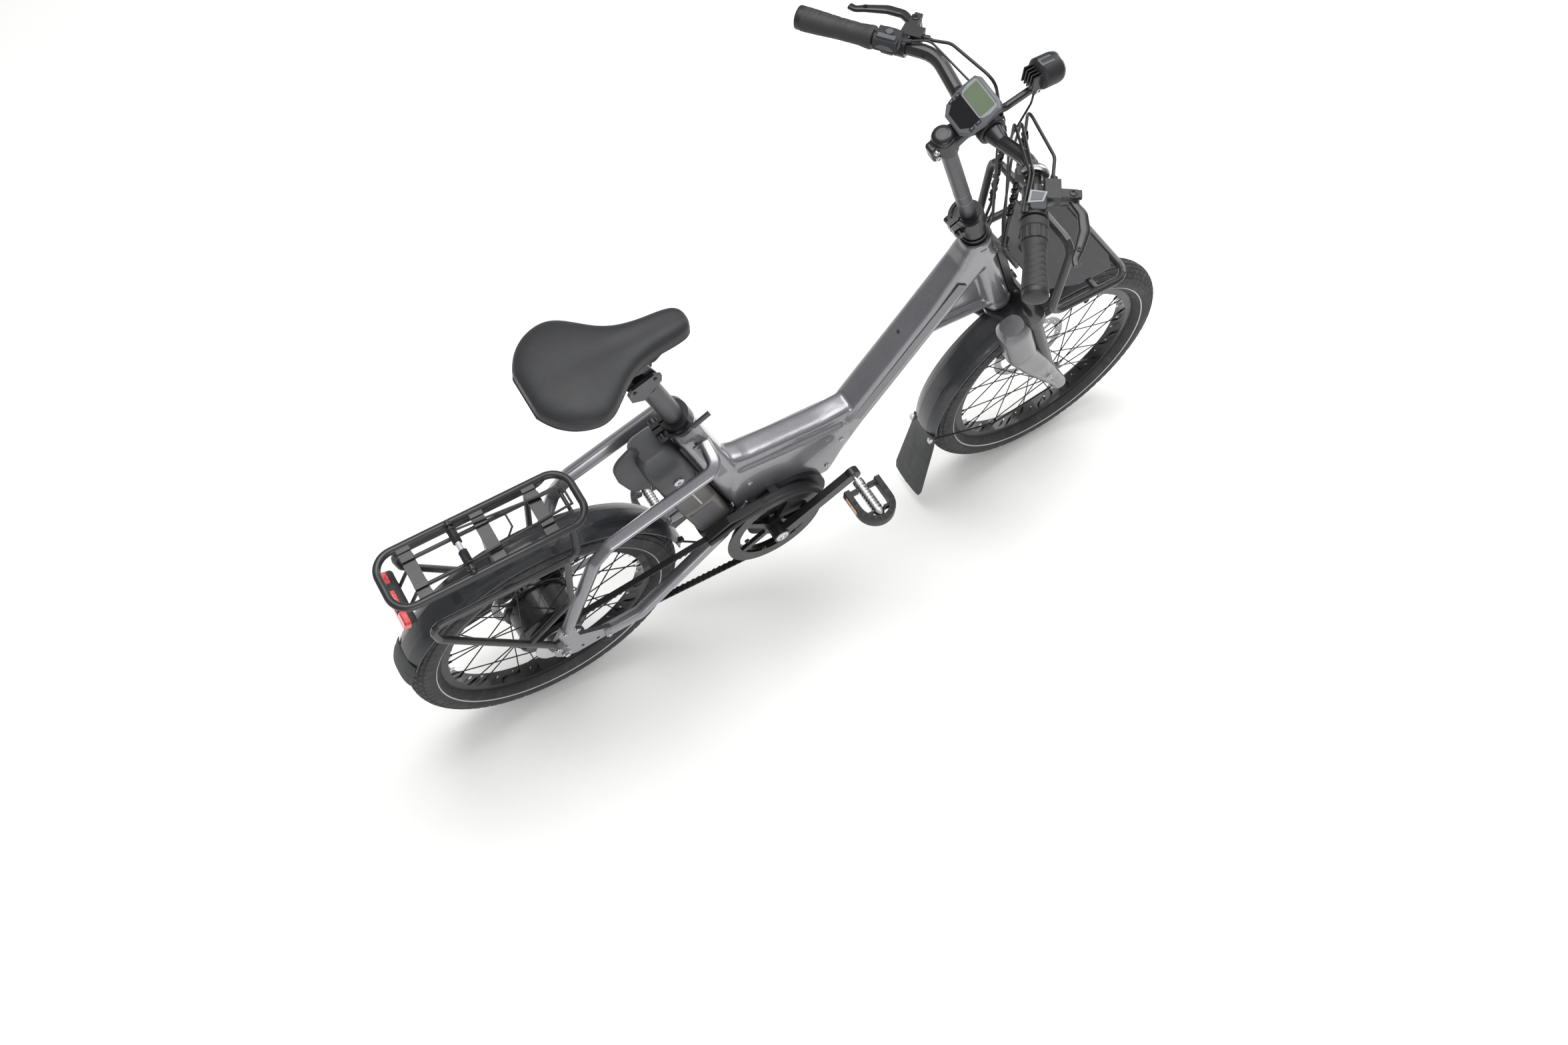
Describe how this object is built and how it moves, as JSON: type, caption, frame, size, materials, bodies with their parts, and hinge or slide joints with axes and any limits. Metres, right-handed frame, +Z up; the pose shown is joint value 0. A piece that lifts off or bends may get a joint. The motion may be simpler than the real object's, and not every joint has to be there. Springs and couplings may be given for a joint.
{
  "type": "compact electric bicycle",
  "caption": "Low-step compact electric bicycle with a suspension fork, toothed belt drive, disc brakes, rear rack, front carrier, twisting adjustable stem and folding kickstand.",
  "frame": {"origin": "on the ground, in the middle of the bicycle's length and width", "axes": "+X forward, +Y to the rider's left, +Z up"},
  "size_m": [1.6046, 0.616, 1.1446],
  "materials": {
    "frame_paint": "satin",
    "fork_paint": "gloss",
    "black_tube": "satin",
    "black_alloy": "satin",
    "grey_alloy": "satin",
    "bare_alloy": "satin",
    "motor_shell": "matte",
    "black_plastic": "matte",
    "fender_plastic": "gloss",
    "battery_shell": "matte",
    "grey_plastic": "matte",
    "lamp_red": "gloss",
    "tyre_rubber": "matte",
    "grip_rubber": "matte",
    "belt_rubber": "matte",
    "cable_jacket": "satin",
    "saddle_cover": "matte",
    "steel": "satin",
    "disc_steel": "satin",
    "spoke_steel": "satin"
  },
  "bodies": {
    "frame": {"main_frame": "frame_paint", "right_rear_stays": "frame_paint", "left_rear_stays": "frame_paint", "drive_motor": "motor_shell", "belt_guard": "black_plastic", "battery_dock": "black_plastic", "seat_collar": "black_alloy", "rack_frame": "black_tube", "tail_light": "lamp_red", "rear_fender": "fender_plastic", "front_carrier": "black_tube", "headset_cups": "black_alloy", "drive_belt": "belt_rubber", "rear_axle": "steel", "rear_caliper": "black_alloy"},
    "battery": {"battery_case": "battery_shell"},
    "seat_clamp_lever": {"seat_lever": "black_alloy"},
    "seat_post": {"seatpost": "grey_alloy", "suspension_spring": "steel"},
    "front_link": {"link_front": "black_alloy"},
    "rear_link": {"link_rear": "black_alloy"},
    "saddle": {"saddle_head": "black_alloy", "saddle_rails": "black_tube", "saddle_pad": "saddle_cover"},
    "luggage_spring_clamp": {"luggage_clamp": "black_tube"},
    "crankset": {"crank_arms": "black_alloy", "crank_axle": "steel", "front_pulley": "black_alloy"},
    "pedal_right": {"right_pedal": "black_plastic"},
    "pedal_left": {"left_pedal": "black_plastic"},
    "cog": {"rear_cog": "bare_alloy"},
    "rear_wheel": {"rear_hub": "black_alloy", "rear_rim": "black_alloy", "rear_spokes": "spoke_steel", "rear_tyre": "tyre_rubber", "rear_disc": "disc_steel"},
    "fork": {"fork_crown": "black_tube"},
    "fork_slider": {"fork_lowers": "fork_paint", "front_caliper": "black_alloy", "front_fender": "fender_plastic"},
    "front_wheel": {"front_hub": "black_alloy", "front_rim": "black_alloy", "front_spokes": "spoke_steel", "front_tyre": "tyre_rubber", "front_disc": "disc_steel"},
    "stem_sleeve": {"stem_clamp": "black_alloy"},
    "stem_clamp_lever": {"stem_lever": "black_alloy"},
    "bars": {"stem_tube": "grey_alloy", "handlebar": "black_tube", "grips": "grip_rubber", "bar_controls": "black_plastic", "display": "grey_plastic", "headlight": "black_plastic", "control_cables": "cable_jacket"},
    "brake_lever_right": {"right_brake_lever": "black_alloy"},
    "brake_lever_left": {"left_brake_lever": "black_alloy"},
    "twist_grip": {"twist_shifter": "grip_rubber"},
    "assist_rocker_key": {"assist_rocker": "grey_plastic"},
    "mode_key": {"mode_button": "grey_plastic"},
    "kickstand": {"kickstand_leg": "black_alloy"}
  },
  "joints": [
    {"name": "steering", "type": "hinge", "parent": "frame", "child": "fork", "pos_m": [0.50107, 0, 0.24459], "axis": [-0.3502, 0, 0.9367], "range_deg": [-60, 60]},
    {"name": "fork_travel", "type": "slide", "parent": "fork", "child": "fork_slider", "axis": [-0.3502, 0, 0.9367], "range_m": [0, 0.038], "stiffness_N_per_m": 9000, "springref_m": -0.02},
    {"name": "front_wheel_spin", "type": "hinge", "parent": "fork_slider", "child": "front_wheel", "pos_m": [0.54228, 0, 0.26], "axis": [0, 1, 0], "continuous": true},
    {"name": "stem_twist", "type": "hinge", "parent": "fork", "child": "stem_sleeve", "pos_m": [0.50107, 0, 0.24459], "axis": [-0.3502, 0, 0.9367], "range_deg": [0, 90]},
    {"name": "stem_height", "type": "slide", "parent": "stem_sleeve", "child": "bars", "axis": [-0.3502, 0, 0.9367], "range_m": [-0.08, 0.03], "deforming": ["control_cables"]},
    {"name": "stem_lever_swing", "type": "hinge", "parent": "stem_sleeve", "child": "stem_clamp_lever", "pos_m": [0.24651, 0, 0.84549], "axis": [0, -1, 0], "range_deg": [0, 120]},
    {"name": "brake_squeeze_right", "type": "hinge", "parent": "bars", "child": "brake_lever_right", "pos_m": [0.26733, -0.1902, 1.09201], "axis": [0.0396, 0.0575, -0.9976], "range_deg": [0, 15], "stiffness_Nm_per_rad": 0.6, "springref_deg": -14.32},
    {"name": "brake_squeeze_left", "type": "hinge", "parent": "bars", "child": "brake_lever_left", "pos_m": [0.26733, 0.1902, 1.09201], "axis": [-0.0396, 0.0575, 0.9976], "range_deg": [0, 15], "stiffness_Nm_per_rad": 0.6, "springref_deg": -14.32},
    {"name": "shift_twist", "type": "hinge", "parent": "bars", "child": "twist_grip", "pos_m": [0.19937, -0.19726, 1.09492], "axis": [-0.565, -0.8221, -0.0698], "range_deg": [0, 120]},
    {"name": "assist_rock", "type": "hinge", "parent": "bars", "child": "assist_rocker_key", "pos_m": [0.19866, 0.16723, 1.11938], "axis": [0.8241, 0.5664, 0], "range_deg": [-3, 3], "stiffness_Nm_per_rad": 0.3},
    {"name": "mode_press", "type": "slide", "parent": "bars", "child": "mode_key", "axis": [0.0396, -0.0575, -0.9976], "range_m": [0, 0.0012], "stiffness_N_per_m": 500, "springref_m": -0.0006},
    {"name": "crank_spin", "type": "hinge", "parent": "frame", "child": "crankset", "pos_m": [-0.09672, 0, 0.278], "axis": [0, 1, 0], "continuous": true},
    {"name": "cog_spin", "type": "hinge", "parent": "frame", "child": "cog", "pos_m": [-0.53472, 0, 0.26], "axis": [0, 1, 0], "continuous": true},
    {"name": "pedal_right_spin", "type": "hinge", "parent": "crankset", "child": "pedal_right", "pos_m": [0.05051, 0, 0.363], "axis": [0, 1, 0], "continuous": true},
    {"name": "pedal_left_spin", "type": "hinge", "parent": "crankset", "child": "pedal_left", "pos_m": [-0.24394, 0, 0.193], "axis": [0, 1, 0], "continuous": true},
    {"name": "rear_wheel_spin", "type": "hinge", "parent": "frame", "child": "rear_wheel", "pos_m": [-0.53472, 0, 0.26], "axis": [0, 1, 0], "continuous": true},
    {"name": "battery_tilt", "type": "hinge", "parent": "frame", "child": "battery", "pos_m": [-0.24032, 0, 0.35062], "axis": [0, -1, 0], "range_deg": [0, 9]},
    {"name": "seat_height", "type": "slide", "parent": "frame", "child": "seat_post", "axis": [-0.3338, 0, 0.9426], "range_m": [-0.06, 0.08]},
    {"name": "seat_lever_swing", "type": "hinge", "parent": "frame", "child": "seat_clamp_lever", "pos_m": [-0.2876, 0, 0.68185], "axis": [0, -1, 0], "range_deg": [0, 100]},
    {"name": "seat_suspension", "type": "hinge", "parent": "seat_post", "child": "front_link", "pos_m": [-0.29366, 0, 0.854], "axis": [0, -1, 0], "range_deg": [0, 26], "stiffness_Nm_per_rad": 40, "springref_deg": -11.46, "deforming": ["suspension_spring"]},
    {"name": "rear_link_swing", "type": "hinge", "parent": "seat_post", "child": "rear_link", "pos_m": [-0.32766, 0, 0.842], "axis": [0, -1, 0], "range_deg": [0, 26]},
    {"name": "saddle_level", "type": "hinge", "parent": "front_link", "child": "saddle", "pos_m": [-0.31382, 0, 0.89534], "axis": [0, -1, 0], "range_deg": [-26, 0]},
    {"name": "luggage_clamp_lift", "type": "hinge", "parent": "frame", "child": "luggage_spring_clamp", "pos_m": [-0.63672, 0, 0.626], "axis": [0, -1, 0], "range_deg": [0, 80], "stiffness_Nm_per_rad": 0.3, "springref_deg": -17.19},
    {"name": "kickstand_swing", "type": "hinge", "parent": "frame", "child": "kickstand", "pos_m": [-0.49072, 0.0915, 0.224], "axis": [0, -1, 0], "range_deg": [0, 72]}
  ],
  "couplings": [
    {"joint": "cog_spin", "follows": "crank_spin", "ratio": 2.0833},
    {"joint": "rear_link_swing", "follows": "seat_suspension", "ratio": 1},
    {"joint": "saddle_level", "follows": "seat_suspension", "ratio": -1}
  ]
}
